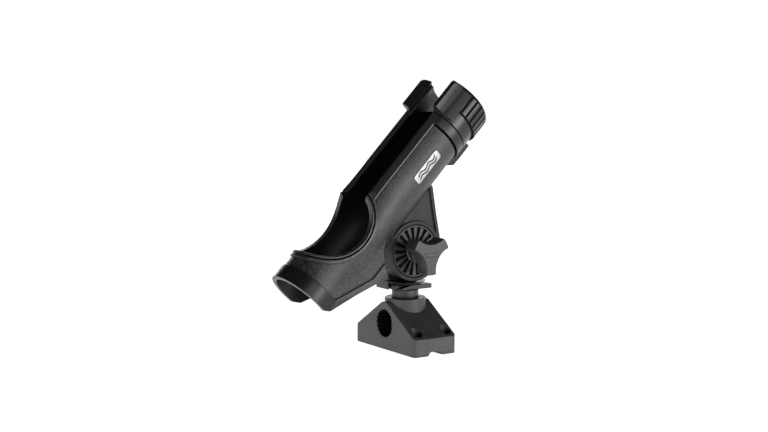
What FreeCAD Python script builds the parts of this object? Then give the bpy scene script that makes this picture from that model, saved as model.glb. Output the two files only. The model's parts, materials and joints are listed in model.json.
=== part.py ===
"""Adjustable fishing rod holder: an open cradle on a toothed pivot, a lift-out post and a screw-down mount.

Row frame: millimetres, +Z up, origin at the centre of the mount's underside, +X the way the rod points.
The cradle group is drawn lying level, with its pivot at the origin and the rod along +X, and is then tilted.
"""
import FreeCAD, Part
import math
import os
import Sketcher
from FreeCAD import Placement, Rotation, Vector

DOC = FreeCAD.newDocument("rod_holder")
SHEET = DOC.addObject("Spreadsheet::Sheet", "Sizes")
PARTS = []
ALONG_X = Rotation(Vector(0, 1, 0), 90)
ALONG_Y = Rotation(Vector(1, 0, 0), -90)
UPRIGHT = Rotation()


class Size:
    """A length or angle that carries its number and the sheet formula that it comes from."""

    def __init__(self, number, formula):
        self.number = number
        self.formula = formula

    def join(self, other, sign, number):
        return Size(number, "(%s %s %s)" % (self.formula, sign, size(other).formula))

    def __add__(self, other):
        return self.join(other, "+", self.number + size(other).number)

    def __sub__(self, other):
        return self.join(other, "-", self.number - size(other).number)

    def __mul__(self, other):
        return self.join(other, "*", self.number * size(other).number)

    def __truediv__(self, other):
        return self.join(other, "/", self.number / size(other).number)

    def __neg__(self):
        return Size(-self.number, "(0 - %s)" % self.formula)


def size(value):
    """Any plain number as a Size."""
    if isinstance(value, Size):
        return value
    return Size(float(value), "%.6f" % value if value >= 0 else "(0 - %.6f)" % -value)


class Sizes:
    """The driving dimensions, each one a cell of the sheet with an alias."""

    row = 0

    def __init__(self, **cells):
        for alias, number in cells.items():
            Sizes.row += 1
            cell = "A%d" % Sizes.row
            SHEET.set(cell, str(number))
            SHEET.setAlias(cell, alias)
            setattr(self, alias, Size(float(number), "Sizes.%s" % alias))


MOUNT = Sizes(
    base_half_depth=19.9, base_half_width=42.2, base_end_height=13.8, ridge_height=38.0,
    ridge_half_width=3.6, ridge_round=6.0, base_corner=3.0, collar_radius=16.4, collar_top=40.6,
    socket_tip_radius=10.5, socket_root_radius=11.3, socket_floor=6.0, side_socket_height=21.0,
    screw_half_depth=13.6, screw_half_width=35.0, screw_hole_radius=2.6, screw_head_radius=4.7,
    screw_seat_height=9.0, drain_half_width=6.4, drain_height=3.0,
)
POST = Sizes(
    spline_root_radius=10.42, spline_tip_radius=11.22, post_foot=6.3, neck_radius=10.65,
    neck_top=47.0, spindle_radius=7.0, lever_thickness=3.7, lever_radius=12.8, lever_front=19.2,
    lever_near=9.6, lever_gap=0.3, pivot_height=78.8, face_near=3.0, head_far=20.0,
    head_radius=18.6, head_rear=14.6, head_front=13.0, foot_radius=16.6, foot_top=54.2,
    hex_radius=7.5, bolt_head_near=14.0, bolt_head_far=19.3,
)
TUBE = Sizes(
    tilt=45.5, tube_height=46.8, rim_radius=27.3, panel_depth=1.5, bore_radius=23.0,
    rear_end=90.0, front_end=88.5, rim_flare=3.5, panel_flare=2.5, scoop_middle=31.0,
    flare_half=45.0, scoop_radius=35.0, scoop_height=85.8, band_width=5.0, slot_angle=47.7,
    slot_start=8.0, skirt_half=27.03, skirt_top=43.0, skirt_foot_half=20.99, skirt_inset=1.515,
    skirt_corner=44.0, skirt_knee=64.2, knee_height=24.3, skirt_low=14.5, skirt_front=29.0,
    shoulder=11.0, ramp_radius=26.0, ramp_slope=1.05, ramp_depth=16.0, swing_radius=37.0,
    nose_radius=25.0, nose_bore=22.0, nose_end=118.0, groove_start=111.5, groove_width=3.0,
    groove_depth=1.0, keel_half_width=4.5, keel_low=14.2, keel_end=99.0, keel_rear=77.8,
    panel_front=80.5, panel_top=61.8, panel_rear=78.0, lower_rim=5.8, leg_height=38.5,
    leg_round=87.0, lip_width=1.5, trim_width=1.0, trim_depth=0.9,
)
BOSS = Sizes(
    boss_radius=24.0, boss_near=14.4, boss_far=0.7, hub_radius=21.0, hub_gap=0.6,
    hub_step=10.5, dish_radius=19.2, dish_floor=12.2, tooth_top=13.6, land_radius=8.0,
    land_top=14.1, far_tooth_radius=18.3, far_tooth_height=1.0, bolt_radius=4.0,
    bolt_clearance=0.06, tooth_phase=2.5,
)
RING = Sizes(
    ring_start=89.2, ring_end=120.0, skirt_start=101.0, sleeve_radius=27.3, grip_radius=29.5,
    grip_end=117.3, lip_radius=27.4, ring_bore=25.3, hollow_radius=28.1, hollow_end=110.0,
    fin_radius=33.4, fin_bend=115.4, bead_gap=0.3, opening_angle=50.5, smooth_angle=36.0,
    groove_half=1.3, groove_floor=28.6, groove_phase=2.6,
)
KNOB = Sizes(
    knob_near=37.0, knob_back=23.0, knob_foot=15.6, knob_radius=16.6, valley_radius=18.0,
    valley_reach=25.8, hub_top_radius=9.5, hub_foot_radius=8.0, insert_radius=6.0,
    insert_depth=29.6, bolt_tip=27.5, washer_radius=8.5, washer_gap=0.05, knob_phase=29.5,
)
PLATE = Sizes(plate_start=35.0, plate_end=65.0, plate_low=41.0, plate_high=48.6,
              plate_thick=0.8, plate_corner=2.0)

SPLINES = 20
TEETH = 18


# ---------------------------------------------------------------- making objects

def bind(item, name, value):
    """Ties one property of an object to the sheet."""
    item.setExpression(name, size(value).formula)


def place(item, x=0, y=0, z=0, turn=UPRIGHT):
    """Puts an object at a point whose coordinates come from the sheet."""
    spot = [size(v) for v in (x, y, z)]
    item.Placement = Placement(Vector(*[v.number for v in spot]), turn)
    for axis, value in zip("xyz", spot):
        bind(item, "Placement.Base.%s" % axis, value)
    return item


def cylinder(name, radius, length, x=0, y=0, z=0, turn=UPRIGHT):
    """A cylinder that starts at a point and runs along +Z, +X or +Y."""
    item = DOC.addObject("Part::Cylinder", name)
    bind(item, "Radius", radius)
    bind(item, "Height", length)
    return place(item, x, y, z, turn)


def cone(name, start_radius, end_radius, length, x=0, y=0, z=0, turn=UPRIGHT):
    """A cone that starts at a point and runs along +Z, +X or +Y."""
    item = DOC.addObject("Part::Cone", name)
    bind(item, "Radius1", start_radius)
    bind(item, "Radius2", end_radius)
    bind(item, "Height", length)
    return place(item, x, y, z, turn)


def box(name, low, high):
    """A box between two corners."""
    item = DOC.addObject("Part::Box", name)
    for side, start, end in zip(("Length", "Width", "Height"), low, high):
        bind(item, side, size(end) - start)
    return place(item, *low)


def fuse(name, *items):
    """The union of several objects."""
    item = DOC.addObject("Part::MultiFuse", name)
    item.Shapes = list(items)
    item.Refine = True
    return item


def cut(name, base, *tools):
    """One object less several others."""
    item = DOC.addObject("Part::Cut", name)
    item.Base = base
    item.Tool = tools[0] if len(tools) == 1 else fuse(name + "_tools", *tools)
    item.Refine = True
    return item


def common(name, *items):
    """What several objects share."""
    item = DOC.addObject("Part::MultiCommon", name)
    item.Shapes = list(items)
    return item


def fillet(name, base, radius, wanted):
    """Rounds the edges of an object that the test picks."""
    DOC.recompute()
    item = DOC.addObject("Part::Fillet", name)
    item.Base = base
    edges = base.Shape.Edges
    item.Edges = [(i + 1, radius, radius) for i, edge in enumerate(edges) if wanted(edge)]
    return item


def plane_of(body, plane):
    """The body's own origin plane or axis of that role."""
    for feature in body.Origin.OriginFeatures:
        if feature.Role == plane:
            return feature
    raise ValueError("no such plane: " + plane)


def tie(sketch, constraint, value):
    """Adds a measured constraint whose value comes from the sheet."""
    sketch.setExpression("Constraints[%d]" % sketch.addConstraint(constraint), value.formula)


def sketch_on(body, name, plane, points, offset=0):
    """A closed outline of straight lines whose corners are tied to the sheet."""
    sketch = body.newObject("Sketcher::SketchObject", name)
    sketch.AttachmentSupport = [(plane_of(body, plane + "_Plane"), "")]
    sketch.MapMode = "FlatFace"
    bind(sketch, "AttachmentOffset.Base.z", offset)
    corners = [(size(u), size(v)) for u, v in points]
    spots = [Vector(u.number, v.number, 0) for u, v in corners]
    count = len(spots)
    for i in range(count):
        sketch.addGeometry(Part.LineSegment(spots[i], spots[(i + 1) % count]))
    for i in range(count):
        sketch.addConstraint(Sketcher.Constraint("Coincident", i, 2, (i + 1) % count, 1))
    for i, (u, v) in enumerate(corners):
        tie(sketch, Sketcher.Constraint("DistanceX", -1, 1, i, 1, u.number), u)
        tie(sketch, Sketcher.Constraint("DistanceY", -1, 1, i, 1, v.number), v)
    return sketch


def prism(name, plane, points, low, high):
    """A body padded from an outline, between two distances from its plane."""
    body = DOC.addObject("PartDesign::Body", name)
    start = -size(high) if plane == "XZ" else size(low)
    sketch = sketch_on(body, name + "_outline", plane, points, start)
    pad = body.newObject("PartDesign::Pad", name + "_pad")
    pad.Profile = sketch
    bind(pad, "Length", size(high) - low)
    return body


def spokes(name, plane, points, low, high, count, span=360.0):
    """A prism repeated about the body's own axis, square to its plane."""
    body = prism(name, plane, points, low, high)
    body.AllowCompound = True
    axis = {"XY": "Z_Axis", "XZ": "Y_Axis", "YZ": "X_Axis"}[plane]
    pattern = body.newObject("PartDesign::PolarPattern", name + "_pattern")
    pattern.Originals = [body.Group[-2]]
    pattern.Axis = (plane_of(body, axis), [""])
    pattern.Angle = span
    pattern.Occurrences = count
    body.Tip = pattern
    return body


def cosine(angle):
    """Cosine of an angle in degrees."""
    return Size(math.cos(math.radians(size(angle).number)), "cos(%s)" % size(angle).formula)


def sine(angle):
    """Sine of an angle in degrees."""
    return Size(math.sin(math.radians(size(angle).number)), "sin(%s)" % size(angle).formula)


def around_tube(radius, angle, side=1):
    """A point on a section across the tube: radius from its axis, angle up from level."""
    return (size(radius) * cosine(angle) * side, TUBE.tube_height + size(radius) * sine(angle))


def barrel(name, radius, rise):
    """A solid of revolution about the tube's axis that swells smoothly at the scoop's middle."""
    axis_height = TUBE.tube_height.number
    edge = axis_height + size(radius).number
    middle, half = -TUBE.scoop_middle.number, TUBE.flare_half.number
    bend = (half * half + size(rise).number ** 2) / (4 * size(rise).number)
    sag = bend - math.sqrt(bend * bend - half * half / 16)
    heights = [0, sag, size(rise).number / 2, size(rise).number - sag, size(rise).number]
    heights += heights[-2::-1]
    spots = [Vector(middle + half * (i - 4) / 4, 0, edge + height) for i, height in enumerate(heights)]
    arcs = [Part.Arc(*spots[:3]), Part.Arc(spots[2], spots[4], spots[6]), Part.Arc(*spots[6:])]
    start, end = spots[0], spots[-1]
    foot = [end, Vector(end.x, 0, axis_height), Vector(start.x, 0, axis_height), start]
    outline = Part.Wire([arc.toShape() for arc in arcs] + Part.makePolygon(foot).Edges)
    item = DOC.addObject("Part::Feature", name)
    item.Shape = Part.Face(outline).revolve(Vector(0, 0, axis_height), Vector(1, 0, 0), 360)
    return item


def finish(item, label):
    """Names a finished sub-part."""
    item.Label = label
    PARTS.append(item)
    return item


def tilted(item, label):
    """Names a finished sub-part of the cradle and swings it up about the pivot."""
    place(item, 0, 0, POST.pivot_height, Rotation(Vector(0, -1, 0), TUBE.tilt.number))
    bind(item, "Placement.Rotation.Angle", TUBE.tilt)
    return finish(item, label)


# ---------------------------------------------------------------- mount and post

def splined_socket(name, start, length, turn, x=0, z=0):
    """A cutting tool for a round socket with spline teeth left standing inside it."""
    teeth = [(9.5, -1.1), (MOUNT.socket_root_radius, -0.85),
             (MOUNT.socket_root_radius, 0.85), (9.5, 1.1)]
    upright = turn == UPRIGHT
    grooves = spokes(name + "_grooves", "XY" if upright else "YZ", teeth, start,
                     size(start) + length, SPLINES)
    place(grooves, 0, 0, z)
    if upright:
        core = cylinder(name + "_core", MOUNT.socket_tip_radius, length, 0, 0, start, turn)
    else:
        core = cylinder(name + "_core", MOUNT.socket_tip_radius, length, start, 0, z, turn)
    return fuse(name, core, grooves)


def mount_base():
    """The screw-down mount: a ridged block with an upright and a level splined socket."""
    wide, high = MOUNT.base_half_width, MOUNT.ridge_height
    gable = [(-wide, 0), (wide, 0), (wide, MOUNT.base_end_height), (MOUNT.ridge_half_width, high),
             (-MOUNT.ridge_half_width, high), (-wide, MOUNT.base_end_height)]
    block = prism("base_block", "YZ", gable, -MOUNT.base_half_depth, MOUNT.base_half_depth)
    corners = fillet("base_corners", block, MOUNT.base_corner.number, is_upright_edge)
    rounded = fillet("base_rounded", corners, MOUNT.ridge_round.number, is_ridge_edge)
    collar = cylinder("base_collar", MOUNT.collar_radius, MOUNT.collar_top)
    body = fuse("base_body", rounded, collar)
    upright = splined_socket("upright_socket", MOUNT.socket_floor, 50, UPRIGHT)
    level = splined_socket("level_socket", -25, 50, ALONG_X, 0, MOUNT.side_socket_height)
    tools = [upright, level]
    for x in (-MOUNT.screw_half_depth, MOUNT.screw_half_depth):
        for y in (-MOUNT.screw_half_width, MOUNT.screw_half_width):
            tools.append(cylinder("screw_hole", MOUNT.screw_hole_radius, 40, x, y, -1))
            tools.append(cylinder("screw_seat", MOUNT.screw_head_radius, 40, x, y,
                                  MOUNT.screw_seat_height))
    half, roof = MOUNT.drain_half_width, MOUNT.drain_height
    channel = [(-half, -1), (half, -1), (half, 0), (half - 2, roof), (2 - half.number, roof), (-half, 0)]
    tools.append(prism("drain", "XZ", channel, -wide - 1, wide + 1))
    return finish(cut("mount_base_solid", body, *tools), "mount_base")


def is_upright_edge(edge):
    """The block's four upright corners."""
    return edge.BoundBox.ZLength > 10 and edge.BoundBox.YLength < 0.1


def is_ridge_edge(edge):
    """The two long edges of the block's ridge."""
    return edge.BoundBox.ZMin > MOUNT.ridge_height.number - 0.1 and edge.BoundBox.XLength > 20


def tooth_ring(name, inner, outer, inner_half, outer_half, low, high, phase=0):
    """Radial teeth standing on a flat face round the pivot."""
    tooth = [(inner, -size(inner_half)), (outer, -size(outer_half)),
             (outer, outer_half), (inner, inner_half)]
    ring = spokes(name, "XZ", tooth, low, high, TEETH)
    return place(ring, 0, 0, 0, Rotation(Vector(0, -1, 0), size(phase).number))


def gear_post():
    """The lift-out post: splined shank, neck, spindle, foot and the one-sided toothed head."""
    ribs = [(9.5, -0.95), (POST.spline_tip_radius, -0.7), (POST.spline_tip_radius, 0.7), (9.5, 0.95)]
    shank_top = MOUNT.collar_top
    shank = cylinder("shank", POST.spline_root_radius, shank_top - POST.post_foot, 0, 0, POST.post_foot)
    splines = spokes("shank_splines", "XY", ribs, POST.post_foot, shank_top - 1, SPLINES)
    neck = cylinder("neck", POST.neck_radius, POST.neck_top - shank_top, 0, 0, shank_top)
    foot_low = POST.neck_top + POST.lever_thickness + POST.lever_gap * 2
    spindle = cylinder("spindle", POST.spindle_radius, POST.foot_top - POST.neck_top, 0, 0,
                       POST.neck_top - 1)
    foot = cone("foot", POST.foot_radius - 5, POST.foot_radius, POST.foot_top - foot_low, 0, 0, foot_low)
    near, far, rear, front = POST.face_near, POST.head_far, POST.head_rear, POST.head_front
    axis = POST.pivot_height
    sides = [(-rear, POST.neck_top), (front, POST.neck_top), (front, axis - 20),
             (POST.head_radius - 0.6, axis - 5), (POST.head_radius * 0.9, axis),
             (-POST.head_radius * 0.9, axis), (-POST.head_radius + 0.6, axis - 5), (-rear, axis - 20)]
    block = prism("head_block", "XZ", sides, near, far)
    disc = cylinder("head_disc", POST.head_radius, far - near, 0, near, axis, ALONG_Y)
    teeth = tooth_ring("head_teeth", BOSS.land_radius, BOSS.far_tooth_radius, 0.5, 1.3,
                       near - BOSS.far_tooth_height, near + 1)
    place(teeth, 0, 0, axis)
    sweep = cylinder("lever_sweep", POST.lever_radius + 0.8, foot_low - POST.neck_top + 1, 0, 0,
                     POST.neck_top - 1)
    shadow = [(2 - rear.number, 46), (front + 1, 46), (front + 1, 55.5), (2 - rear.number, 47.4)]
    undercut = prism("head_undercut", "XZ", shadow, near - 1, near + 7)
    panel = [(3.2 - rear.number, 50.6), (9, 57), (9, 60), (3.2 - rear.number, 60)]
    recess = prism("head_recess", "XZ", panel, near - 1, near + 2)
    head = cut("head", fuse("head_blank", block, disc), sweep, undercut, recess)
    bore = cylinder("post_bore", BOSS.bolt_radius + BOSS.bolt_clearance, 60, 0, -30, axis, ALONG_Y)
    trap = hexagon("nut_trap", POST.hex_radius + 0.15, POST.bolt_head_near, far + 1)
    place(trap, 0, 0, axis)
    solid = fuse("post_solid", shank, splines, neck, spindle, foot, head, teeth)
    return finish(cut("gear_post_solid", solid, bore, trap), "gear_post")


def hexagon(name, radius, low, high):
    """A six-sided prism along Y."""
    corners = [(size(radius) * cosine(60 * i), size(radius) * sine(60 * i)) for i in range(6)]
    return prism(name, "XZ", corners, low, high)


def lock_lever():
    """The flat locking tab that turns on the post's spindle between neck and foot."""
    low = POST.neck_top + POST.lever_gap
    top = low + POST.lever_thickness
    disc = cylinder("lever_disc", POST.lever_radius, POST.lever_thickness, 0, 0, low)
    tab = box("lever_tab", (0, -POST.lever_near, low), (POST.lever_front, 1, top))
    near_side = box("lever_near_side", (-30, -30, low - 1), (30, -POST.lever_near, top + 1))
    wedge = [(-14, low + 0.5), (-14, top + 1), (2, top + 1), (0, top)]
    ramp = prism("lever_ramp", "XZ", wedge, -20, -5)
    bore = cylinder("lever_bore", POST.spindle_radius + 0.08, 10, 0, 0, low - 2)
    return finish(cut("lever_solid", fuse("lever_blank", disc, tab), near_side, ramp, bore), "lock_lever")


# ---------------------------------------------------------------- cradle

def hull(name, inset, flare):
    """The cradle's outer skin, shrunk by an inset: tube, scoop swell and tapering skirt."""
    radius = TUBE.rim_radius - inset
    tube = cylinder(name + "_tube", radius, TUBE.rear_end + TUBE.front_end, -TUBE.rear_end, 0,
                    TUBE.tube_height, ALONG_X)
    swell = barrel(name + "_swell", radius, flare)
    narrow = TUBE.skirt_inset * inset / TUBE.panel_depth
    top, foot = TUBE.skirt_half - narrow, TUBE.skirt_foot_half - narrow
    section = [(-foot, 0), (foot, 0), (top, TUBE.skirt_top), (-top, TUBE.skirt_top)]
    wedge = prism(name + "_wedge", "YZ", section, -TUBE.rear_end, 20)
    low, front = TUBE.skirt_low, -TUBE.skirt_front
    side = [(-TUBE.rear_end, TUBE.skirt_top), (-TUBE.rear_end, low + 15), (-TUBE.skirt_knee, low + 5),
            (-TUBE.skirt_corner, low), (front, low), (front + 7, low + 9.5),
            (-TUBE.shoulder - 2, low + 19), (-TUBE.shoulder, TUBE.skirt_top)]
    outline = prism(name + "_skirt_side", "XZ", side, -30, 30)
    swing = cylinder(name + "_swing", TUBE.swing_radius, 40, 0, BOSS.boss_far, 0, ALONG_Y)
    wide = TUBE.ramp_radius + TUBE.ramp_slope * TUBE.ramp_depth
    ramp = cone(name + "_ramp", wide, TUBE.ramp_radius, TUBE.ramp_depth, 0,
                -BOSS.boss_near - TUBE.ramp_depth, 0, ALONG_Y)
    skirt = cut(name + "_skirt", common(name + "_skirt_blank", wedge, outline), swing, ramp)
    return fuse(name, tube, swell, skirt)


def panel_zone():
    """The side view of the recessed, textured panels, right across the cradle."""
    top, front, rear = TUBE.panel_top, TUBE.panel_front, -TUBE.panel_rear
    rim = TUBE.lower_rim
    side = [(front, top), (0, top), (0, 80), (rear, 80), (rear, rim + 30.6),
            (-TUBE.skirt_corner, TUBE.skirt_low + rim), (-24, TUBE.skirt_low + rim), (-12, 5), (40, 5),
            (front, 15)]
    blank = prism("panel_blank", "XZ", side, -40, 40)
    band = cylinder("scoop_band", TUBE.scoop_radius + TUBE.band_width, 90, -TUBE.scoop_middle, -45,
                    TUBE.scoop_height, ALONG_Y)
    return cut("panel_zone", blank, band)


def web():
    """The flat web between tube and pivot boss, with a raised rim up its front edge."""
    near, far = -BOSS.boss_near, BOSS.boss_far
    low, front = TUBE.skirt_low, -TUBE.skirt_front
    side = [(-TUBE.skirt_corner, low), (front, low), (front + 3.5, low - 5), (front + 5.2, low - 17.7),
            (0, 0), (19.2, -14.4), (24, -9.5), (34.2, 5.3), (47.6, 23.4), (47.6, 30), (-30, 30)]
    plate = prism("web_plate", "XZ", side, near, far)
    sunk = [(21.3, -8.4), (31.6, 6.6), (44.6, 24.2), (44.6, 31), (-5, 31), (-5, 10)]
    pocket = prism("web_pocket", "XZ", sunk, near - 1, near + TUBE.panel_depth)
    boss = cylinder("boss", BOSS.boss_radius, far - near, 0, near, 0, ALONG_Y)
    return fuse("web", cut("web_sunk", plate, pocket), boss)


def trim_grooves():
    """The narrow grooves that set off the scoop's lip and the collar in front of the side panels."""
    height, reach, wide = TUBE.tube_height, TUBE.scoop_radius + TUBE.lip_width, TUBE.trim_width
    across = (-TUBE.scoop_middle, -45, TUBE.scoop_height, ALONG_Y)
    lip = cut("lip_ring", cylinder("lip_out", reach + wide, 90, *across),
              cylinder("lip_in", reach, 90, *across), hull("lip_core", TUBE.trim_depth, TUBE.rim_flare))
    start = TUBE.panel_front - wide
    collar = cut("collar_ring", cylinder("collar_out", 40, wide, start, 0, height, ALONG_X),
                 cylinder("collar_in", TUBE.rim_radius - TUBE.panel_depth - TUBE.trim_depth, 10, start - 5,
                          0, height, ALONG_X),
                 box("collar_top", (start - 5, -50, TUBE.panel_top), (start + 5, 50, 100)),
                 box("collar_foot", (start - 5, -TUBE.keel_half_width, -50),
                     (start + 5, TUBE.keel_half_width, height)))
    return lip, collar


def keel():
    """The stiffening keel under the tube's front, whose nose stops the lock ring."""
    rear, low, roof = TUBE.keel_rear, TUBE.keel_low, TUBE.keel_low + 8.3
    side = [(rear - 8.3, roof), (rear, low), (TUBE.keel_end, low), (TUBE.keel_end, low + 4.6),
            (TUBE.front_end, low + 4.6), (TUBE.front_end, roof)]
    return prism("keel", "XZ", side, -TUBE.keel_half_width, TUBE.keel_half_width)


def slot_wedge(name, start, end, edge):
    """The wedge cut out of the tube's top, down to an edge angle, to let the rod drop in."""
    side = [(0, TUBE.tube_height), around_tube(45, edge), (0, TUBE.tube_height + 60),
            around_tube(45, edge, -1)]
    return prism(name, "YZ", side, start, end)


def cradle():
    """The moulded cradle that holds the rod's butt."""
    outer = hull("skin", 0, TUBE.rim_flare)
    inner = hull("core", TUBE.panel_depth, TUBE.panel_flare)
    skin = cut("panelled", outer, cut("panel_cut", panel_zone(), inner))
    height = TUBE.tube_height
    nose = cylinder("nose", TUBE.nose_radius, TUBE.nose_end - 80, 80, 0, height, ALONG_X)
    blank = fuse("cradle_blank", skin, web(), keel(), nose)
    groove = cut("bead_groove", cylinder("groove_out", TUBE.nose_radius + 2, TUBE.groove_width,
                                         TUBE.groove_start, 0, height, ALONG_X),
                 cylinder("groove_in", TUBE.nose_radius - TUBE.groove_depth, TUBE.groove_width + 2,
                          TUBE.groove_start - 1, 0, height, ALONG_X))
    bore = cylinder("bore", TUBE.bore_radius, TUBE.rear_end + TUBE.front_end, -TUBE.rear_end - 2, 0,
                    height, ALONG_X)
    nose_bore = cylinder("nose_bore", TUBE.nose_bore, 60, 70, 0, height, ALONG_X)
    hollow = barrel("bore_swell", TUBE.bore_radius, TUBE.panel_flare)
    scoop = cylinder("scoop", TUBE.scoop_radius, 90, -TUBE.scoop_middle, -45, TUBE.scoop_height, ALONG_Y)
    rear = TUBE.rear_end
    under = [(-rear - 5, -10), (-rear - 5, 47), (-rear - 1, 47), (-rear, TUBE.leg_height),
             (-TUBE.leg_round, 34), (-TUBE.skirt_knee, TUBE.knee_height),
             (-TUBE.skirt_corner, TUBE.skirt_low), (-TUBE.skirt_corner, -10)]
    rear_cut = prism("rear_cut", "XZ", under, -40, 40)
    hub_bore = cylinder("hub_bore", BOSS.hub_radius, 30, 0, -20, 0, ALONG_Y)
    slot = slot_wedge("slot", -TUBE.slot_start, 125, TUBE.slot_angle)
    body = cut("cradle_solid", blank, groove, bore, nose_bore, hollow, scoop, rear_cut, hub_bore, slot,
               *trim_grooves())
    return tilted(body, "cradle")


def gear_hub():
    """The toothed hub in the web: an index dish on the near side, clutch teeth on the far side."""
    near_end, step = -BOSS.land_top, -BOSS.hub_step
    core = cylinder("hub_core", BOSS.hub_radius, BOSS.boss_far - step, 0, step, 0, ALONG_Y)
    rim = cylinder("hub_rim", BOSS.hub_radius - BOSS.hub_gap, step - near_end, 0, near_end, 0, ALONG_Y)
    dish = cylinder("dish", BOSS.dish_radius, BOSS.land_top - BOSS.dish_floor + 1, 0, near_end - 1, 0,
                    ALONG_Y)
    land = cylinder("land", BOSS.land_radius, 12, 0, near_end, 0, ALONG_Y)
    near_teeth = tooth_ring("dish_teeth", BOSS.land_radius - 0.5, BOSS.dish_radius + 0.3, 0.7, 1.7,
                            -BOSS.tooth_top, 1 - BOSS.dish_floor.number, BOSS.tooth_phase)
    far_teeth = tooth_ring("clutch_teeth", BOSS.land_radius, BOSS.far_tooth_radius, 0.5, 1.3,
                           BOSS.boss_far - 1, BOSS.boss_far + BOSS.far_tooth_height)
    bore = cylinder("bolt_bore", BOSS.bolt_radius + BOSS.bolt_clearance, 40, 0, -20, 0, ALONG_Y)
    blank = cut("hub_blank", fuse("hub_disc", core, rim), dish)
    body = cut("hub_solid", fuse("hub_toothed", blank, land, near_teeth, far_teeth), bore)
    return tilted(body, "gear_hub")


def name_plate():
    """The small curved name plate stuck on the near side panel."""
    inner = TUBE.rim_radius - TUBE.panel_depth
    length = PLATE.plate_end - PLATE.plate_start
    sheet = cut("plate_sheet",
                cylinder("plate_out", inner + PLATE.plate_thick, length, PLATE.plate_start, 0,
                         TUBE.tube_height, ALONG_X),
                cylinder("plate_in", inner, length + 2, PLATE.plate_start - 1, 0, TUBE.tube_height, ALONG_X))
    window = box("plate_window", (PLATE.plate_start, -30, PLATE.plate_low),
                 (PLATE.plate_end, -20, PLATE.plate_high))
    rounded = fillet("plate_rounded", window, PLATE.plate_corner.number,
                     lambda edge: edge.BoundBox.YLength > 5)
    return tilted(common("name_plate_solid", sheet, rounded), "name_plate")


def lock_ring():
    """The C-shaped ring that turns on the cradle's nose to close its slot."""
    height, start, end = TUBE.tube_height, RING.ring_start, RING.ring_end
    sleeve = cylinder("sleeve", RING.sleeve_radius, end - start, start, 0, height, ALONG_X)
    grip = cylinder("grip", RING.grip_radius, RING.grip_end - RING.skirt_start, RING.skirt_start, 0,
                    height, ALONG_X)
    lip = cone("lip", RING.grip_radius, RING.lip_radius, end - RING.grip_end, RING.grip_end, 0, height,
               ALONG_X)
    smooth_edge = RING.opening_angle - RING.smooth_angle
    fins = [fin("fin_near", -1), fin("fin_far", 1)]
    smooth = common("smooth_sides", cylinder("smooth_round", RING.grip_radius, RING.grip_end - start - 1,
                                             start + 1, 0, height, ALONG_X),
                    slot_wedge("smooth_wedge", 80, 130, smooth_edge))
    hollow = cut("grip_hollow", cylinder("hollow_out", RING.hollow_radius,
                                         RING.hollow_end - RING.skirt_start + 1,
                                         RING.skirt_start - 1, 0, height, ALONG_X),
                 cylinder("hollow_in", RING.sleeve_radius, 40, 90, 0, height, ALONG_X))
    half, floor = RING.groove_half, RING.groove_floor
    groove = [(-half, -31), (half, -31), (half - 0.4, -floor), (0.4 - half.number, -floor)]
    grooves = spokes("grip_grooves", "YZ", groove, RING.skirt_start - 1, end - 1.6, 31)
    place(grooves, 0, 0, height, Rotation(Vector(1, 0, 0), RING.groove_phase.number))
    ribs = cut("grip_ribs", grooves, slot_wedge("ribless_top", 80, 130, smooth_edge))
    bore = cylinder("ring_bore", RING.ring_bore, 60, 80, 0, height, ALONG_X)
    shell = cut("ring_shell", fuse("ring_body", sleeve, grip, lip), ribs, hollow)
    blank = cut("ring_blank", fuse("ring_sides", shell, smooth), bore)
    bead_start = TUBE.groove_start + RING.bead_gap
    bead = cut("bead", cylinder("bead_out", RING.ring_bore + 0.5, TUBE.groove_width - RING.bead_gap * 2,
                                bead_start, 0, height, ALONG_X),
               cylinder("bead_in", TUBE.nose_radius - TUBE.groove_depth + RING.bead_gap, 60, 80, 0,
                        height, ALONG_X))
    opening = slot_wedge("ring_slot", 80, 130, RING.opening_angle)
    body = cut("ring_solid", fuse("ring_whole", blank, bead, *fins), opening)
    return tilted(body, "lock_ring")


def fin(name, side):
    """A thumb fin along one edge of the ring's opening."""
    edge, low, high = RING.opening_angle, RING.ring_bore + 0.8, RING.fin_radius
    outline = [around_tube(low, edge, side), around_tube(high, edge, side),
               around_tube(high, edge - 5, side), around_tube(high - 2.2, edge - 10, side),
               around_tube(RING.grip_radius - 0.3, edge - 18, side), around_tube(low, edge - 18, side)]
    blank = prism(name + "_blank", "YZ", outline, RING.ring_start + 1, RING.ring_end - 0.6)
    return common(name, blank, fin_envelope(name + "_envelope"))


def fin_envelope(name):
    """The turned shape that rounds a fin's front corner."""
    start, bend, tip = RING.ring_start, RING.fin_bend, RING.fin_radius
    shoulder, height = tip - 1.6, TUBE.tube_height
    return fuse(name,
                cylinder(name + "_back", tip, bend - start, start, 0, height, ALONG_X),
                cone(name + "_bend", tip, shoulder, 2.4, bend, 0, height, ALONG_X),
                cone(name + "_front", shoulder, RING.grip_radius - 1, 1.8, bend + 2.4, 0, height, ALONG_X))


# ---------------------------------------------------------------- clamp bolt and knob

def pivot_bolt():
    """The hexagon bolt held in the head, on which cradle, washer and knob sit."""
    axis = POST.pivot_height
    head = hexagon("bolt_head", POST.hex_radius, POST.bolt_head_near, POST.bolt_head_far)
    place(head, 0, 0, axis)
    shaft = cylinder("bolt_shaft", BOSS.bolt_radius, POST.bolt_head_near + KNOB.bolt_tip + 1, 0,
                     -KNOB.bolt_tip, axis, ALONG_Y)
    return finish(fuse("pivot_bolt_solid", head, shaft), "pivot_bolt")


def knob_washer():
    """The flat washer between the knob and the hub."""
    thick = KNOB.knob_foot - BOSS.land_top - KNOB.washer_gap
    outside = cylinder("washer_out", KNOB.washer_radius, thick, 0, -KNOB.knob_foot, POST.pivot_height,
                       ALONG_Y)
    hole = cylinder("washer_hole", BOSS.bolt_radius + 0.3, 10, 0, -20, POST.pivot_height, ALONG_Y)
    return finish(cut("washer_solid", outside, hole), "knob_washer")


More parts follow.
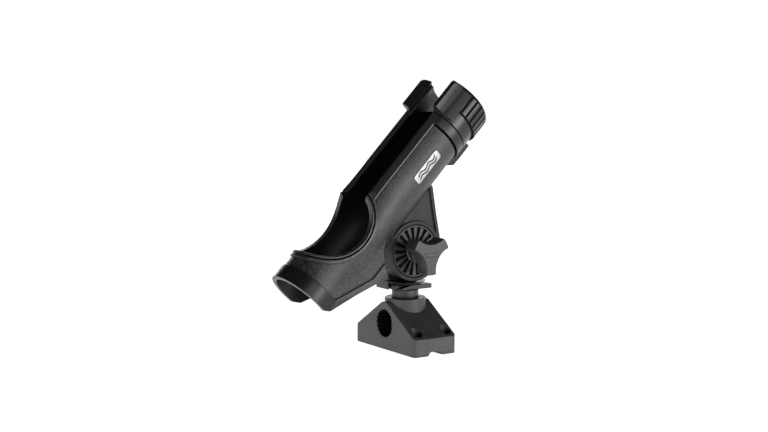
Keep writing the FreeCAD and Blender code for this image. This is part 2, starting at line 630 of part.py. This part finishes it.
def knob():
    """The three-lobed clamping knob."""
    axis, near = POST.pivot_height, -KNOB.knob_near
    thick = KNOB.knob_near - KNOB.knob_back
    disc = cylinder("knob_disc", KNOB.knob_radius, thick, 0, near, axis, ALONG_Y)
    hub = cone("knob_hub", KNOB.hub_top_radius, KNOB.hub_foot_radius, KNOB.knob_back - KNOB.knob_foot, 0,
               -KNOB.knob_back, axis, ALONG_Y)
    valleys = []
    for i in range(3):
        angle = KNOB.knob_phase + 60 + 120 * i
        valleys.append(cylinder("valley", KNOB.valley_radius, thick + 2, KNOB.valley_reach * cosine(angle),
                                near - 1, axis + KNOB.valley_reach * sine(angle), ALONG_Y))
    socket = cylinder("insert_socket", KNOB.insert_radius, KNOB.insert_depth - KNOB.knob_foot + 1, 0,
                      -KNOB.insert_depth, axis, ALONG_Y)
    lobes = cut("lobes", disc, *valleys)
    return finish(cut("knob_solid", fuse("knob_blank", lobes, hub), socket), "knob")


def knob_insert():
    """The threaded brass bush moulded into the knob."""
    length = KNOB.insert_depth - KNOB.knob_foot
    bush = cylinder("bush", KNOB.insert_radius, length, 0, -KNOB.insert_depth, POST.pivot_height, ALONG_Y)
    hole = cylinder("bush_hole", BOSS.bolt_radius + BOSS.bolt_clearance, 40, 0, -40, POST.pivot_height,
                    ALONG_Y)
    return finish(cut("insert_solid", bush, hole), "knob_insert")


# ---------------------------------------------------------------- build and write

def check_document():
    """Stops if any object of the document failed to rebuild."""
    for item in DOC.Objects:
        if "Invalid" in item.State or "Error" in item.State:
            raise RuntimeError("%s (%s) did not rebuild: %s" % (item.Name, item.Label, item.State))


def write_parts():
    """Checks each sub-part's solid and writes it under its label."""
    os.makedirs("parts", exist_ok=True)
    for item in PARTS:
        shape = item.Shape
        if shape.isNull() or not shape.isValid():
            raise RuntimeError("%s has no valid shape" % item.Label)
        print("%-12s solids %d volume %10.1f" % (item.Label, len(shape.Solids), shape.Volume))
        shape.exportStep("parts/%s.step" % item.Label)


def main():
    for make in (mount_base, gear_post, lock_lever, cradle, gear_hub, name_plate, lock_ring,
                 pivot_bolt, knob_washer, knob, knob_insert):
        make()
    DOC.recompute()
    check_document()
    write_parts()


main()
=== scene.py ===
import json
import math

import bpy
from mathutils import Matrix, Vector


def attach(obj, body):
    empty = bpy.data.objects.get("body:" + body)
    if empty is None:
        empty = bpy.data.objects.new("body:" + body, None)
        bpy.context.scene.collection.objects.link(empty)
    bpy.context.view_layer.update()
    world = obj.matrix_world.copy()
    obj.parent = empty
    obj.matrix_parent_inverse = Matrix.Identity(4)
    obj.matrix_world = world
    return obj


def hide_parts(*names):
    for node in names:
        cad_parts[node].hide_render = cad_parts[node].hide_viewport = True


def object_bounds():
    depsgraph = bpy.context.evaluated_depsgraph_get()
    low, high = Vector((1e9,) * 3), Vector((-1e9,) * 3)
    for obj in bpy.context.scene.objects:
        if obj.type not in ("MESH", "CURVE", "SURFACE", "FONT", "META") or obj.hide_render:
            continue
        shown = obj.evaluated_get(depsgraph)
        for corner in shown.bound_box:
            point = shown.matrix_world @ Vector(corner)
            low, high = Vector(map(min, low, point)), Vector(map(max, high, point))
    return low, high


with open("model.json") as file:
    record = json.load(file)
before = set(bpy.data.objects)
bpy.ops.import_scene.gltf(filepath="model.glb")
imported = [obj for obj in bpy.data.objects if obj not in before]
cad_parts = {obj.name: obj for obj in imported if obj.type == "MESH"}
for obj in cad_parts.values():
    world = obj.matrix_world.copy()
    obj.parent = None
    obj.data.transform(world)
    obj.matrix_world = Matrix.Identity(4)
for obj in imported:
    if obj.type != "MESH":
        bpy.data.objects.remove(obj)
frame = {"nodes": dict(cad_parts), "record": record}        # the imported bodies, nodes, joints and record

CAD_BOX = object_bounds()
MM = 0.001

# ---------------------------------------------------------------- places taken from the frame

JOINTS = {joint["name"]: joint for joint in frame["record"]["behaviour"]["joints"]}
PIVOT = Vector(JOINTS["cradle_tilt"]["pos_m"])
TUBE_POINT = Vector(JOINTS["ring_turn"]["pos_m"])
TUBE_AXIS = Vector(JOINTS["ring_turn"]["axis"]).normalized()
TUBE_UP = Vector((-TUBE_AXIS.z, 0, TUBE_AXIS.x))
TILT = math.atan2(TUBE_AXIS.z, TUBE_AXIS.x)
TUBE_HEIGHT = (TUBE_POINT - PIVOT).dot(TUBE_UP)

# The cradle, measured along the tube from the pivot, and up from it square to the tube.
INNER_SKIN = 26.2 * MM                              # the bore's faces lie within this of the axis
SCOOP_MIDDLE, SCOOP_HEIGHT = -31.0 * MM, 85.8 * MM
SCOOP_BAND = 39.6 * MM                              # the raised border's outer radius round the scoop
TRIM_LOW, TRIM_HIGH = 36.4 * MM, 37.6 * MM          # the groove inside that border
TRIM_SIDE = 10.0 * MM
EDGE_LOW, EDGE_HIGH = 61.8 * MM, 62.5 * MM          # where a highlight is painted along the edge above the side panel
EDGE_START, EDGE_END = -2.0 * MM, 79.0 * MM
WEB_FACE, WEB_MIDDLE, WEB_TOP = -14.5 * MM, 1.0 * MM, 26.0 * MM
COLLAR_LOW, COLLAR_HIGH = 79.2 * MM, 80.9 * MM      # the groove that starts the collar
COLLAR_RADIUS = 27.0 * MM
PANEL_FRONT, BARREL_FRONT = 80.5 * MM, -78.0 * MM
PANEL_OUTLINE = [(along * MM, height * MM) for along, height in (
    (80.6, 61.9), (0, 61.9), (0, 80), (-78.1, 80), (-78.1, 36.3), (-44, 20.2), (-24, 20.2), (-12, 4.9),
    (40, 4.9), (80.6, 15))]
SKIRT_REAR, SKIRT_FRONT = -75.0 * MM, -20.0 * MM
SKIRT_LEVEL, SKIRT_SIDE = 37.0 * MM, 15.0 * MM
PLATE_MIDDLE = (50.0 * MM, 44.8 * MM)

# The ring, the hub, the mount and the knob.
GROOVE_RADIUS, GROOVE_START = 28.9 * MM, 103.5 * MM
DISH_FLOOR, TOOTH_TOP = -12.2 * MM, -13.6 * MM
DISH_CENTRE, TOOTH_REACH, DISH_RIM = 9.5 * MM, 19.6 * MM, 19.9 * MM
SOCKET_HEIGHT, SOCKET_REACH = 21.0 * MM, 11.8 * MM
SCREW_PLACE = (13.6 * MM, 35.0 * MM)
SCREW_REACH = 4.9 * MM
KNOB_FACE = -37.0 * MM
BAR_SIZE = Vector((12.0, 0.5, 3.4)) * MM
WAVE_RATE = 620.0                                   # radians a metre
WAVE_REACH, WAVE_OFFSET, WAVE_HALF, WAVE_END = 0.9 * MM, 1.3 * MM, 0.7 * MM, 11.5 * MM

RIM, PANEL, BORE, GAP, WEB, COLLAR, BORDER = range(7)


def in_cradle(point):
    """Distance along the tube from the pivot, sideways place, and height above the pivot, square to it."""
    offset = Vector(point) - PIVOT
    return offset.dot(TUBE_AXIS), offset.y, offset.dot(TUBE_UP)


# ---------------------------------------------------------------- node helpers

def new_material(name):
    """An empty material with its shader and output."""
    material = bpy.data.materials.new(name)
    material.use_nodes = True
    tree = material.node_tree
    tree.nodes.clear()
    output = tree.nodes.new("ShaderNodeOutputMaterial")
    shader = tree.nodes.new("ShaderNodeBsdfPrincipled")
    tree.links.new(shader.outputs["BSDF"], output.inputs["Surface"])
    return material, tree, shader


def object_point(tree, place=(0, 0, 0), turn=0.0):
    """The object's own coordinates, measured from a place and a tilt about Y."""
    source = tree.nodes.new("ShaderNodeTexCoord")
    mapping = tree.nodes.new("ShaderNodeMapping")
    mapping.vector_type = "TEXTURE"
    mapping.inputs["Location"].default_value = place
    mapping.inputs["Rotation"].default_value = (0, -turn, 0)
    tree.links.new(source.outputs["Object"], mapping.inputs["Vector"])
    return mapping.outputs["Vector"]


def noise(tree, point, scale, detail=2.0, roughness=0.5):
    """A noise value over the object."""
    node = tree.nodes.new("ShaderNodeTexNoise")
    node.inputs["Scale"].default_value = scale
    node.inputs["Detail"].default_value = detail
    node.inputs["Roughness"].default_value = roughness
    tree.links.new(point, node.inputs["Vector"])
    return node.outputs["Fac"]


def ramp(tree, value, *stops):
    """A colour ramp over (place, colour) stops."""
    node = tree.nodes.new("ShaderNodeValToRGB")
    while len(node.color_ramp.elements) < len(stops):
        node.color_ramp.elements.new(0.5)
    for element, (place, colour) in zip(node.color_ramp.elements, stops):
        element.position = place
        element.color = (*colour, 1)
    tree.links.new(value, node.inputs["Fac"])
    return node.outputs["Color"]


def spread(tree, value, low, high, start=0.0, end=1.0):
    """Maps the values from start to end to a range."""
    node = tree.nodes.new("ShaderNodeMapRange")
    node.inputs["From Min"].default_value = start
    node.inputs["From Max"].default_value = end
    node.inputs["To Min"].default_value = low
    node.inputs["To Max"].default_value = high
    tree.links.new(value, node.inputs["Value"])
    return node.outputs["Result"]


def math_node(tree, operation, *values):
    """One arithmetic step, whose inputs are sockets or numbers."""
    node = tree.nodes.new("ShaderNodeMath")
    node.operation = operation
    for socket, value in zip(node.inputs, values):
        if isinstance(value, (int, float)):
            socket.default_value = value
        else:
            tree.links.new(value, socket)
    return node.outputs["Value"]


def bump(tree, shader, height, strength, distance):
    """Feeds a height into the shader's normal, over any bump that is already there."""
    node = tree.nodes.new("ShaderNodeBump")
    node.inputs["Strength"].default_value = strength
    node.inputs["Distance"].default_value = distance
    tree.links.new(height, node.inputs["Height"])
    for link in shader.inputs["Normal"].links:
        tree.links.new(link.from_socket, node.inputs["Normal"])
    tree.links.new(node.outputs["Normal"], shader.inputs["Normal"])


def axes(tree, point):
    """Splits a point into its X, Y and Z."""
    node = tree.nodes.new("ShaderNodeSeparateXYZ")
    tree.links.new(point, node.inputs["Vector"])
    return node.outputs


def between(tree, value, low, high):
    """1 where a value lies between two limits, and 0 elsewhere."""
    above = math_node(tree, "GREATER_THAN", value, low)
    return math_node(tree, "MULTIPLY", above, math_node(tree, "LESS_THAN", value, high))


def shade(colour, factor):
    """A colour made lighter or darker."""
    return tuple(channel * factor for channel in colour)


# ---------------------------------------------------------------- finishes

def moulded_nylon(name, colour, roughness, grain=0.05, relief=0.06, reflectance=0.5):
    """Glass-filled nylon: pale fibre specks, faint flow marks, a fine grain, and painted shade that darkens
    its colour and shine in crevices.
    """
    material, tree, shader = new_material(name)
    point = object_point(tree)
    cloud = noise(tree, point, 38.0, 3.0, 0.55)
    specks = noise(tree, point, 560.0, 2.0, 0.7)
    blend = math_node(tree, "MULTIPLY_ADD", specks, 0.7, math_node(tree, "MULTIPLY", cloud, 0.3))
    darkest, palest = shade(colour, 1 - 8 * grain), shade(colour, 1 + 10 * grain)
    mottled = ramp(tree, blend, (0.36, darkest), (0.64, palest))
    # Painted shade: ambient occlusion darkens the colour and the shine in crevices, creases and recesses.
    crevice_shade = tree.nodes.new("ShaderNodeAmbientOcclusion")
    crevice_shade.samples = 8
    crevice_shade.inputs["Distance"].default_value = 4 * MM
    unshaded_share = spread(tree, crevice_shade.outputs["AO"], 0.12, 1.0, 0.35, 0.85)
    shade_darkened_colour = tree.nodes.new("ShaderNodeVectorMath")
    shade_darkened_colour.operation = "SCALE"
    tree.links.new(mottled, shade_darkened_colour.inputs[0])
    tree.links.new(unshaded_share, shade_darkened_colour.inputs["Scale"])
    tree.links.new(shade_darkened_colour.outputs["Vector"], shader.inputs["Base Color"])
    tree.links.new(math_node(tree, "MULTIPLY", unshaded_share, reflectance), shader.inputs["Specular IOR Level"])
    shader.inputs["IOR"].default_value = 1.53
    flow = noise(tree, point, 120.0, 4.0, 0.6)
    uneven = math_node(tree, "MULTIPLY_ADD", specks, 0.5, math_node(tree, "MULTIPLY", flow, 0.5))
    tree.links.new(spread(tree, uneven, roughness - 2 * grain, roughness + 2 * grain),
                   shader.inputs["Roughness"])
    bump(tree, shader, noise(tree, point, 2600.0, 2.0, 0.6), relief * 4, 0.00006)
    bump(tree, shader, noise(tree, point, 900.0, 2.0, 0.6), relief * 6, 0.00010)
    return material


def panel_edge_highlight(material, highlight_tone):
    """Paints a highlight along the thin edge that runs along the top of the side panel, beside the slot,
    where it catches light.
    """
    tree = material.node_tree
    base_input = next(node for node in tree.nodes if node.type == "BSDF_PRINCIPLED").inputs["Base Color"]
    place = axes(tree, object_point(tree, PIVOT, TILT))
    line = math_node(tree, "MULTIPLY", between(tree, place["Z"], EDGE_LOW, EDGE_HIGH),
                     between(tree, place["X"], EDGE_START, EDGE_END))
    blend = tree.nodes.new("ShaderNodeMix")
    blend.data_type = "RGBA"
    first, second = (socket for socket in blend.inputs if socket.type == "RGBA")
    result = next(socket for socket in blend.outputs if socket.type == "RGBA")
    tree.links.new(line, blend.inputs["Factor"])
    tree.links.new(base_input.links[0].from_socket, first)
    second.default_value = (highlight_tone, highlight_tone, highlight_tone, 1)
    tree.links.new(result, base_input)
    return material


def brushed_stainless():
    """Turned stainless steel with fine marks and a soft stain."""
    material, tree, shader = new_material("satin_stainless")
    point = object_point(tree)
    cloud = noise(tree, point, 160.0, 3.0)
    tree.links.new(ramp(tree, cloud, (0.3, (0.50, 0.50, 0.49)), (0.7, (0.66, 0.66, 0.65))),
                   shader.inputs["Base Color"])
    shader.inputs["Metallic"].default_value = 1.0
    tree.links.new(spread(tree, noise(tree, point, 900.0, 4.0), 0.26, 0.42), shader.inputs["Roughness"])
    bump(tree, shader, noise(tree, point, 2400.0, 2.0), 0.12, 0.00003)
    return material


def machined_brass():
    """Machined brass with a dulled surface."""
    material, tree, shader = new_material("machined_brass")
    point = object_point(tree)
    tree.links.new(ramp(tree, noise(tree, point, 200.0, 3.0), (0.3, (0.50, 0.36, 0.16)),
                        (0.7, (0.72, 0.55, 0.28))), shader.inputs["Base Color"])
    shader.inputs["Metallic"].default_value = 1.0
    tree.links.new(spread(tree, noise(tree, point, 700.0, 3.0), 0.28, 0.46), shader.inputs["Roughness"])
    bump(tree, shader, noise(tree, point, 1800.0, 2.0), 0.15, 0.00003)
    return material


def silver_label():
    """The name plate's film: satin silver, crossed by two plain waves."""
    material, tree, shader = new_material("silver_label")
    centre = PIVOT + TUBE_AXIS * PLATE_MIDDLE[0] + TUBE_UP * PLATE_MIDDLE[1]
    point = object_point(tree, centre, TILT)
    place = axes(tree, point)
    swing = math_node(tree, "SINE", math_node(tree, "MULTIPLY", place["X"], WAVE_RATE))
    waves = []
    for height in (WAVE_OFFSET, -WAVE_OFFSET):
        line = math_node(tree, "MULTIPLY_ADD", swing, WAVE_REACH, height)
        gap = math_node(tree, "ABSOLUTE", math_node(tree, "SUBTRACT", place["Z"], line))
        waves.append(math_node(tree, "LESS_THAN", gap, WAVE_HALF))
    length = math_node(tree, "LESS_THAN", math_node(tree, "ABSOLUTE", place["X"]), WAVE_END)
    printed = math_node(tree, "MULTIPLY", math_node(tree, "MAXIMUM", *waves), length)
    colour = ramp(tree, printed, (0.0, (0.46, 0.47, 0.48)), (1.0, (0.02, 0.02, 0.022)))
    tree.links.new(colour, shader.inputs["Base Color"])
    shader.inputs["Metallic"].default_value = 0.25
    tree.links.new(spread(tree, noise(tree, point, 900.0, 3.0), 0.30, 0.42), shader.inputs["Roughness"])
    bump(tree, shader, noise(tree, point, 3000.0, 2.0), 0.05, 0.00003)
    return material


def make_finishes():
    """Every finish of the holder, by name."""
    return {
        "mount": moulded_nylon("mount_nylon", (0.036, 0.036, 0.037), 0.46),
        "post": moulded_nylon("post_nylon", (0.018, 0.018, 0.018), 0.36),
        "lever": moulded_nylon("lever_nylon", (0.014, 0.014, 0.014), 0.42),
        # The rim carries a painted highlight along the edge above the side panel.
        "rim": panel_edge_highlight(moulded_nylon("rim_nylon", (0.014, 0.014, 0.014), 0.34, 0.03, 0.04, 0.5), 0.22),
        "collar": moulded_nylon("collar_nylon", (0.007, 0.007, 0.007), 0.30, 0.02, 0.03, 0.36),
        "panel": moulded_nylon("panel_nylon", (0.022, 0.0215, 0.021), 0.42, 0.11, 0.16),
        # Painted highlight: a lighter colour for the raised borders, where they catch light.
        "border": moulded_nylon("border_highlight_nylon", (0.046, 0.046, 0.045), 0.36, 0.05, 0.06),
        # Painted shade: the web is darkened where the tube shades it.
        "web": moulded_nylon("web_shaded_nylon", (0.008, 0.008, 0.008), 0.46, 0.08, 0.14, 0.3),
        # Painted shade: near-black for the insides of the bores, the socket and the screw holes.
        "bore": moulded_nylon("bore_shaded_nylon", (0.003, 0.003, 0.003), 0.40, 0.02, 0.04, 0.42),
        # Painted shade: near-black where shade falls in grooves, under steps and behind the dish.
        "gap": moulded_nylon("gap_shaded_nylon", (0.001, 0.001, 0.001), 0.80, 0.01, 0.02, 0.05),
        "ring": moulded_nylon("ring_nylon", (0.009, 0.009, 0.009), 0.24, 0.02, 0.03, 0.38),
        # Painted shade: near-black for the ring's grip grooves and the dish's floor and centre.
        "groove": moulded_nylon("groove_shaded_nylon", (0.002, 0.002, 0.002), 0.60, 0.02, 0.03, 0.15),
        "tooth": moulded_nylon("tooth_nylon", (0.014, 0.014, 0.014), 0.40, 0.03, 0.04),
        "knob": moulded_nylon("knob_nylon", (0.026, 0.026, 0.026), 0.40, 0.05, 0.06),
        "steel": brushed_stainless(),
        "brass": machined_brass(),
        "label": silver_label(),
    }


# ---------------------------------------------------------------- working on meshes

def only(item):
    """Selects one object alone and makes it active."""
    bpy.ops.object.select_all(action="DESELECT")
    item.select_set(True)
    bpy.context.view_layer.objects.active = item


def edit_all(item):
    """Opens an object's mesh with everything selected."""
    only(item)
    bpy.ops.object.mode_set(mode="EDIT")
    bpy.ops.mesh.select_all(action="SELECT")


def apply_all(item):
    """Applies an object's modifiers in order."""
    only(item)
    for modifier in list(item.modifiers):
        bpy.ops.object.modifier_apply(modifier=modifier.name)


def refined(node, name, edge, segments=2):
    """A copy of a CAD node whose sharp edges are rounded to a moulding's small radius."""
    source = frame["nodes"][node]
    piece = bpy.data.objects.new(name, source.data.copy())
    bpy.context.scene.collection.objects.link(piece)
    piece.data.materials.clear()
    edit_all(piece)
    bpy.ops.mesh.remove_doubles(threshold=0.000004)
    bpy.ops.mesh.dissolve_limited(angle_limit=math.radians(0.6))
    bpy.ops.object.mode_set(mode="OBJECT")
    bevel = piece.modifiers.new("moulded_edges", "BEVEL")
    bevel.width = edge
    bevel.segments = segments
    bevel.limit_method = "ANGLE"
    bevel.angle_limit = math.radians(28.0)
    bevel.use_clamp_overlap = False
    bevel.miter_outer = "MITER_SHARP"
    smooth_shaded(piece)
    return piece


def smooth_shaded(piece):
    """Applies the modifiers and shades the piece smoothly, with its flat faces kept flat."""
    apply_all(piece)
    edit_all(piece)
    bpy.ops.mesh.quads_convert_to_tris(quad_method="BEAUTY", ngon_method="BEAUTY")
    bpy.ops.object.mode_set(mode="OBJECT")
    bpy.ops.object.shade_smooth_by_angle(angle=math.radians(32.0))
    weighted = piece.modifiers.new("flat_faces", "WEIGHTED_NORMAL")
    weighted.keep_sharp = True
    weighted.mode = "FACE_AREA_WITH_ANGLE"
    apply_all(piece)


def paint(piece, materials, choose):
    """Gives every face the finish that a test picks from its middle and its normal."""
    for material in materials:
        piece.data.materials.append(material)
    for face in piece.data.polygons:
        face.material_index = choose(face.center, face.normal)


def stand_for(piece, node):
    """Shows a piece in place of a CAD node, on that node's body."""
    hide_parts(node)
    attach(piece, BODY_OF[node])


BODY_OF = {node: body for body, nodes in frame["record"]["behaviour"]["bodies"].items() for node in nodes}


# ---------------------------------------------------------------- the pieces

def inside(outline, across, up):
    """True if a point lies inside a closed outline."""
    within = False
    for (x0, y0), (x1, y1) in zip(outline, outline[1:] + outline[:1]):
        if (y0 > up) != (y1 > up) and across < x0 + (up - y0) * (x1 - x0) / (y1 - y0):
            within = not within
    return within


def from_tube(point, normal):
    """Distance from the tube's axis, and how squarely a face looks away from it."""
    along, side, height = in_cradle(point)
    up = height - TUBE_HEIGHT
    radial = math.hypot(side, up)
    return radial, (normal.y * side + normal.dot(TUBE_UP) * up) / max(radial, 0.001)


def cradle_zone(point, normal):
    """Which of the cradle's seven zones a face belongs to."""
    along, side, height = in_cradle(point)
    radial, outward = from_tube(point, normal)
    scoop = math.hypot(along - SCOOP_MIDDLE, height - SCOOP_HEIGHT)
    # Painted shade in the groove round the scoop's border.
    if TRIM_LOW < scoop < TRIM_HIGH and outward > -0.2 and abs(side) > TRIM_SIDE:
        return GAP
    # Painted shade on the web's face, under the tube.
    if WEB_FACE < side < WEB_MIDDLE and abs(normal.y) > 0.9 and height < WEB_TOP:
        return WEB
    # Painted shade inside the bore.
    if radial < INNER_SKIN and outward < -0.3:
        return BORE
    # Painted shade in the groove that starts the collar.
    if COLLAR_LOW < along < COLLAR_HIGH and height < EDGE_HIGH and radial < COLLAR_RADIUS:
        return GAP
    on_skirt = height < SKIRT_LEVEL and abs(side) > SKIRT_SIDE
    # Painted shade on the skirt's upward-facing step above its lower border.
    if on_skirt and along < SKIRT_FRONT and normal.dot(TUBE_UP) > 0.75:
        return GAP
    if (along > PANEL_FRONT or along < BARREL_FRONT) and radial > 20 * MM and outward > 0:
        return COLLAR
    if inside(PANEL_OUTLINE, along, height) and scoop > SCOOP_BAND and abs(normal.y) > 0.12 and outward > 0.1:
        return PANEL
    # Painted highlight on the lower border of the skirt and the border round the scoop.
    low_border = on_skirt and SKIRT_REAR < along < 0
    scoop_border = scoop < SCOOP_BAND and outward > 0.1 and along > BARREL_FRONT
    return BORDER if (low_border or scoop_border) and abs(normal.y) > 0.5 else RIM


def make_cradle(finish):
    """The cradle, with a finish for each of its zones, in the zones' order."""
    piece = refined("cradle", "cradle_moulding", 0.4 * MM)
    zones = [finish[key] for key in ("rim", "panel", "bore", "gap", "web", "collar", "border")]
    paint(piece, zones, cradle_zone)
    stand_for(piece, "cradle")


def make_hub(finish):
    """The toothed hub, with painted shade on the dish's floor and centre between its teeth and on its side
    behind the dish.
    """
    def choose(point, normal):
        reach = math.hypot(point.x - PIVOT.x, point.z - PIVOT.z)
        # Painted shade on the hub's side behind the dish.
        if reach > DISH_RIM and point.y > TOOTH_TOP + 1.6 * MM:
            return 2
        on_floor = abs(point.y - DISH_FLOOR) < 0.5 * MM and reach < TOOTH_REACH
        return 1 if on_floor or reach < DISH_CENTRE else 0
    piece = refined("gear_hub", "index_hub", 0.2 * MM)
    paint(piece, [finish["tooth"], finish["groove"], finish["gap"]], choose)
    stand_for(piece, "gear_hub")


def make_ring(finish):
    """The lock ring, with painted shade in its grip grooves and inside."""
    def choose(point, normal):
        radial, outward = from_tube(point, normal)
        # Painted shade inside the ring.
        if outward < -0.3:
            return 2
        # Painted shade in the grip grooves.
        return 1 if radial < GROOVE_RADIUS and in_cradle(point)[0] > GROOVE_START else 0
    piece = refined("lock_ring", "lock_ring_moulding", 0.3 * MM)
    paint(piece, [finish["ring"], finish["groove"], finish["bore"]], choose)
    stand_for(piece, "lock_ring")


def make_mount(finish):
    """The screw-down block, with painted shade inside its level socket and screw holes."""
    def choose(point, normal):
        reach = math.hypot(point.y, point.z - SOCKET_HEIGHT)
        inward = normal.y * point.y + normal.z * (point.z - SOCKET_HEIGHT) < 0
        if reach < SOCKET_REACH and (inward or abs(normal.x) < 0.7) and abs(normal.x) < 0.9:
            return 1
        from_screw = math.hypot(abs(point.x) - SCREW_PLACE[0], abs(point.y) - SCREW_PLACE[1])
        return 1 if from_screw < SCREW_REACH and abs(normal.z) < 0.5 else 0
    piece = refined("mount_base", "mount_block", 0.5 * MM, 3)
    paint(piece, [finish["mount"], finish["bore"]], choose)
    stand_for(piece, "mount_base")


def make_plain(finish):
    """The pieces that wear one finish all over."""
    plain = (("gear_post", "post_moulding", "post", "moulded_nylon", 0.35),
             ("lock_lever", "lever_tab", "lever", "moulded_nylon", 0.4),
             ("knob", "knob_moulding", "knob", "knob_nylon", 0.7),
             ("pivot_bolt", "bolt", "steel", "stainless", 0.25),
             ("knob_washer", "washer", "steel", "stainless", 0.1),
             ("knob_insert", "brass_bush", "brass", "brass", 0.15),
             ("name_plate", "label_plate", "label", "plate", 0.12))
    for node, name, key, slot, edge in plain:
        piece = refined(node, name, edge * MM, 3 if edge > 0.6 else 2)
        paint(piece, [finish[key]], lambda point, normal: 0)
        stand_for(piece, node)


def make_knob_bar(finish):
    """The low raised bar moulded across the knob's face."""
    bpy.ops.object.select_all(action="DESELECT")
    bpy.ops.mesh.primitive_cube_add(size=1.0, location=(0, 0, 0))
    bar = bpy.context.object
    bar.name = "knob_face_bar"
    middle = Vector((PIVOT.x + 0.5 * MM, KNOB_FACE - 0.02 * MM, PIVOT.z - 1.0 * MM))
    for corner in bar.data.vertices:
        corner.co = middle + corner.co * BAR_SIZE
    rounding = bar.modifiers.new("rounding", "BEVEL")
    rounding.width = 0.2 * MM
    rounding.segments = 3
    apply_all(bar)
    bpy.ops.object.shade_smooth_by_angle(angle=math.radians(30.0))
    paint(bar, [finish["knob"]], lambda point, normal: 0)
    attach(bar, "knob")


# ---------------------------------------------------------------- studio

def make_floor():
    """A plain pale floor under the holder."""
    bpy.ops.object.select_all(action="DESELECT")
    bpy.ops.mesh.primitive_circle_add(vertices=96, radius=12.0, fill_type="NGON", location=(0, 0, -0.0005))
    floor = bpy.context.object
    floor.name = "pale_floor"
    material, tree, shader = new_material("pale_floor")
    point = object_point(tree)
    tree.links.new(ramp(tree, noise(tree, point, 1.5), (0.3, (0.84, 0.84, 0.84)), (0.7, (0.87, 0.87, 0.87))),
                   shader.inputs["Base Color"])
    shader.inputs["Roughness"].default_value = 0.9
    shader.inputs["Emission Color"].default_value = (1, 1, 1, 1)
    shader.inputs["Emission Strength"].default_value = 0.95
    floor.data.materials.append(material)


def make_world():
    """A plain bright studio: white all round at eye level, dimmer overhead."""
    world = bpy.data.worlds.new("studio")
    world.use_nodes = True
    bpy.context.scene.world = world
    tree = world.node_tree
    background = tree.nodes["Background"]
    source = tree.nodes.new("ShaderNodeTexCoord")
    height = spread(tree, axes(tree, source.outputs["Generated"])["Z"], 0.0, 1.0, 0.05, 0.22)
    sky = ramp(tree, height, (0.0, (1.0, 1.0, 1.0)), (1.0, (0.015, 0.015, 0.016)))
    tree.links.new(sky, background.inputs["Color"])
    background.inputs["Strength"].default_value = 1.0


def soft_box(name, place, size, power):
    """A large area lamp that faces the holder."""
    middle = (CAD_BOX[0] + CAD_BOX[1]) / 2
    bpy.ops.object.select_all(action="DESELECT")
    bpy.ops.object.light_add(type="AREA", location=place)
    lamp = bpy.context.object
    lamp.name = name
    lamp.data.shape = "RECTANGLE"
    lamp.data.size = size[0]
    lamp.data.size_y = size[1]
    lamp.data.energy = power
    lamp.rotation_euler = (middle - Vector(place)).to_track_quat("-Z", "Y").to_euler()


def make_lights():
    """A box lamp at the left, one in front and a dim one behind, and a broad level key."""
    make_world()
    soft_box("left_box", (-1.9, -0.25, 0.12), (1.5, 0.55), 14.0)
    soft_box("front_box", (0.9, -1.7, 0.12), (1.6, 0.55), 20.0)
    soft_box("back_box", (0.7, 1.8, 0.35), (1.5, 0.8), 10.0)
    bpy.ops.object.light_add(type="SUN", location=(-0.8, -0.9, 1.6))
    sun = bpy.context.object
    sun.name = "broad_key"
    sun.data.energy = 1.0
    sun.data.angle = math.radians(50)
    sun.rotation_euler = Vector((0.1, 1.0, -0.15)).to_track_quat("-Z", "Y").to_euler()


def make_camera():
    """A long lens a little above the holder, on its knob side and well round to the rear."""
    azimuth, elevation, distance = math.radians(-33.233), math.radians(6.374), 1.13417
    target = Vector((-0.0202, 0, 0.1066))
    back = Vector((math.sin(azimuth) * math.cos(elevation), -math.cos(azimuth) * math.cos(elevation),
                   math.sin(elevation)))
    bpy.ops.object.select_all(action="DESELECT")
    bpy.ops.object.camera_add(location=target + back * distance)
    camera = bpy.context.object
    camera.rotation_euler = (-back).to_track_quat("-Z", "Y").to_euler()
    camera.data.sensor_width = 36.0
    camera.data.lens = 67.57
    camera.data.clip_start = 0.01
    bpy.context.scene.camera = camera


# ---------------------------------------------------------------- build

def main():
    """Builds the camera, the finishes, every piece and the studio."""
    make_camera()
    finish = make_finishes()
    make_cradle(finish)
    make_hub(finish)
    make_ring(finish)
    make_mount(finish)
    make_plain(finish)
    make_knob_bar(finish)
    make_floor()
    make_lights()
    bpy.context.scene.view_settings.view_transform = "Standard"


main()
